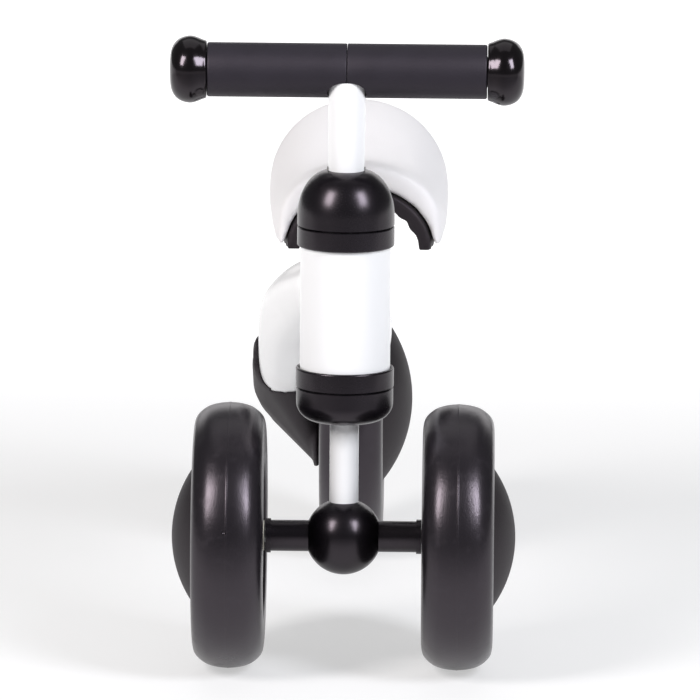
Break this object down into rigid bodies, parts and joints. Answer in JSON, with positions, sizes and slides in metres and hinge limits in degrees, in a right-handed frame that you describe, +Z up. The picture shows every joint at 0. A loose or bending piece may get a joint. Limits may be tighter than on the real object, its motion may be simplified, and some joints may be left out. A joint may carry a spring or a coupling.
{
  "type": "balance bike",
  "caption": "Toddler ride-on balance bike: paired front wheels steer under an upright head, a rear wheel runs beside a single arm, and a padded saddle sits on a clamped post.",
  "frame": {"origin": "on the floor under the middle of the bounding box", "axes": "+Z up; the front wheels and the handlebar are at the -Y end and the saddle's back and rear wheel towards +Y; +X is to the right when the bike is seen from its front, so it is the rider's left"},
  "size_m": [0.211, 0.533, 0.3815],
  "materials": {
    "white_paint": "smooth gloss white powder coat",
    "white_gloss_plastic": "smooth white moulded plastic, glossy",
    "steel": "plain zinc-plated steel",
    "black_plastic": "satin black moulded plastic",
    "black_paint": "satin black paint",
    "nylon": "natural nylon",
    "grip_foam": "matt black foam rubber",
    "gloss_black_plastic": "glossy black plastic",
    "tyre_foam": "satin black closed-cell foam",
    "white_leatherette": "white leatherette over foam, matt to satin",
    "spring_steel": "bright spring steel"
  },
  "bodies": {
    "frame": {"head_sleeve": "white_paint", "head_tube": "steel", "upper_collar": "black_plastic", "lower_collar": "black_plastic", "upper_bush": "nylon", "lower_bush": "nylon", "stop_ring": "steel", "head_lug": "steel", "beam_bolts": "steel", "main_beam": "white_gloss_plastic", "rear_hub_shell": "black_plastic", "axle_carrier": "steel", "rear_axle": "steel", "rear_axle_nut": "steel", "seat_tube": "steel", "seat_clamp": "black_paint", "clamp_screw": "steel"},
    "saddle": {"seat_post": "steel", "seat_base": "black_plastic", "seat_cushion": "white_leatherette", "seat_bolt": "steel"},
    "steering": {"steerer_tube": "white_paint", "stem": "white_paint", "crossbar": "steel", "left_grip": "grip_foam", "right_grip": "grip_foam", "left_end_cap": "gloss_black_plastic", "right_end_cap": "gloss_black_plastic", "upper_dome": "black_plastic", "lower_dome": "black_plastic", "crown_ring": "steel", "top_ring": "steel", "stop_pin": "steel", "ball_hub": "black_plastic", "fork_screw": "steel", "left_axle_tube": "black_plastic", "right_axle_tube": "black_plastic", "axle_spacers": "black_plastic", "front_axle": "steel", "front_axle_nuts": "steel", "button_spring": "spring_steel"},
    "left_push_button": {"left_button": "spring_steel"},
    "right_push_button": {"right_button": "spring_steel"},
    "left_front_wheel": {"left_tyre": "tyre_foam", "left_wheel_core": "black_plastic", "left_bushes": "nylon", "left_wheel_dome": "black_plastic"},
    "right_front_wheel": {"right_tyre": "tyre_foam", "right_wheel_core": "black_plastic", "right_bushes": "nylon", "right_wheel_dome": "black_plastic"},
    "rear_wheel": {"rear_tyre": "tyre_foam", "rear_wheel_core": "black_plastic", "rear_bushes": "nylon", "rear_wheel_dome": "black_plastic"}
  },
  "joints": [
    {"name": "steering_turn", "type": "hinge", "parent": "frame", "child": "steering", "pos_m": [0, -0.1865, 0.22], "axis": [0, 0, 1], "range_deg": [-67.5, 67.5]},
    {"name": "saddle_height", "type": "slide", "parent": "frame", "child": "saddle", "axis": [0, 0, 1], "range_m": [0, 0.025]},
    {"name": "left_front_wheel_spin", "type": "hinge", "parent": "steering", "child": "left_front_wheel", "pos_m": [-0.0685, -0.1865, 0.08], "axis": [1, 0, 0], "continuous": true},
    {"name": "right_front_wheel_spin", "type": "hinge", "parent": "steering", "child": "right_front_wheel", "pos_m": [0.0685, -0.1865, 0.08], "axis": [1, 0, 0], "continuous": true},
    {"name": "rear_wheel_spin", "type": "hinge", "parent": "frame", "child": "rear_wheel", "pos_m": [0, 0.1705, 0.096], "axis": [1, 0, 0], "continuous": true},
    {"name": "left_button_press", "type": "slide", "parent": "steering", "child": "left_push_button", "axis": [1, 0, 0], "range_m": [0, 0.0037], "stiffness_N_per_m": 300},
    {"name": "right_button_press", "type": "slide", "parent": "steering", "child": "right_push_button", "axis": [-1, 0, 0], "range_m": [0, 0.0037], "stiffness_N_per_m": 300}
  ]
}
